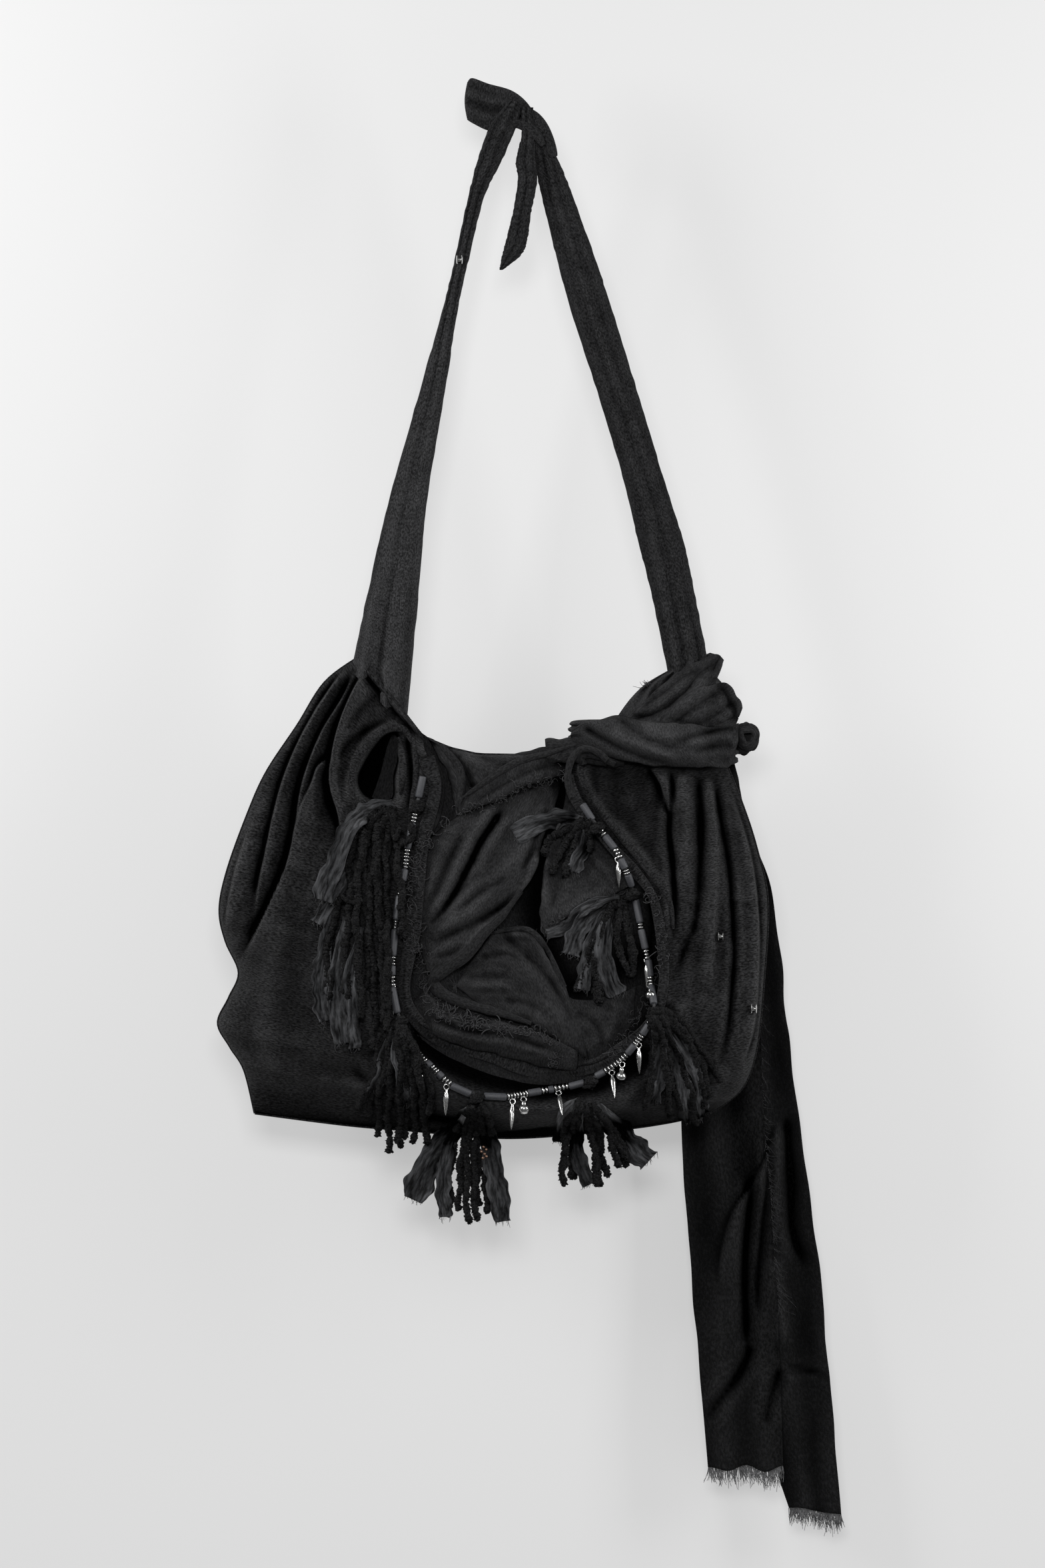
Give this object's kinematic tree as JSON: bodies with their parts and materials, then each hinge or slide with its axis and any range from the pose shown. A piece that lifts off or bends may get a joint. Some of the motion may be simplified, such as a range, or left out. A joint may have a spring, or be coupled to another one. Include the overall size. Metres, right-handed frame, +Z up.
{
  "type": "slouchy scarf shoulder bag",
  "caption": "Slouchy black cloth shoulder bag with a knotted strap, a scarf knot with long tails, and a string of beads, spikes and tassels round a U neckline.",
  "frame": {"origin": "inner top of the strap loop, where a hook or shoulder carries the bag", "axes": "+Z up, +X to the right of the front, the front looks along -Y"},
  "size_m": [0.5627, 0.1555, 1.2952],
  "materials": {
    "pouch_cloth": "matt doubled crepe, black",
    "scarf_gauze": "thin crinkled gauze, black",
    "strap_cloth": "folded crepe band, black",
    "beads": "slate tube beads with bright rings and charms",
    "tassel_cloth": "torn ribbon and thick chenille cord, charcoal",
    "silver": "bright worn silver"
  },
  "bodies": {
    "root": {"pouch_front": "pouch_cloth", "pouch_rear": "pouch_cloth", "neckline_hem": "pouch_cloth", "inner_scarf": "scarf_gauze", "strap_left": "strap_cloth", "strap_right": "strap_cloth", "strap_loop": "strap_cloth", "strap_end": "strap_cloth", "knot_wrap": "scarf_gauze", "knot_fan": "scarf_gauze", "knot_bud": "scarf_gauze", "tail_short": "scarf_gauze", "tail_long": "scarf_gauze", "bead_string": "beads", "tassel_bottom_left": "tassel_cloth", "tassel_bottom_right": "tassel_cloth", "tassel_lower_left": "tassel_cloth", "tassel_lower_right": "tassel_cloth", "tassel_inner_right": "tassel_cloth", "tassel_inner_top": "tassel_cloth", "tassel_upper_left": "tassel_cloth", "clamp_side": "silver", "clamp_edge": "silver", "clamp_strap": "silver"}
  },
  "joints": []
}
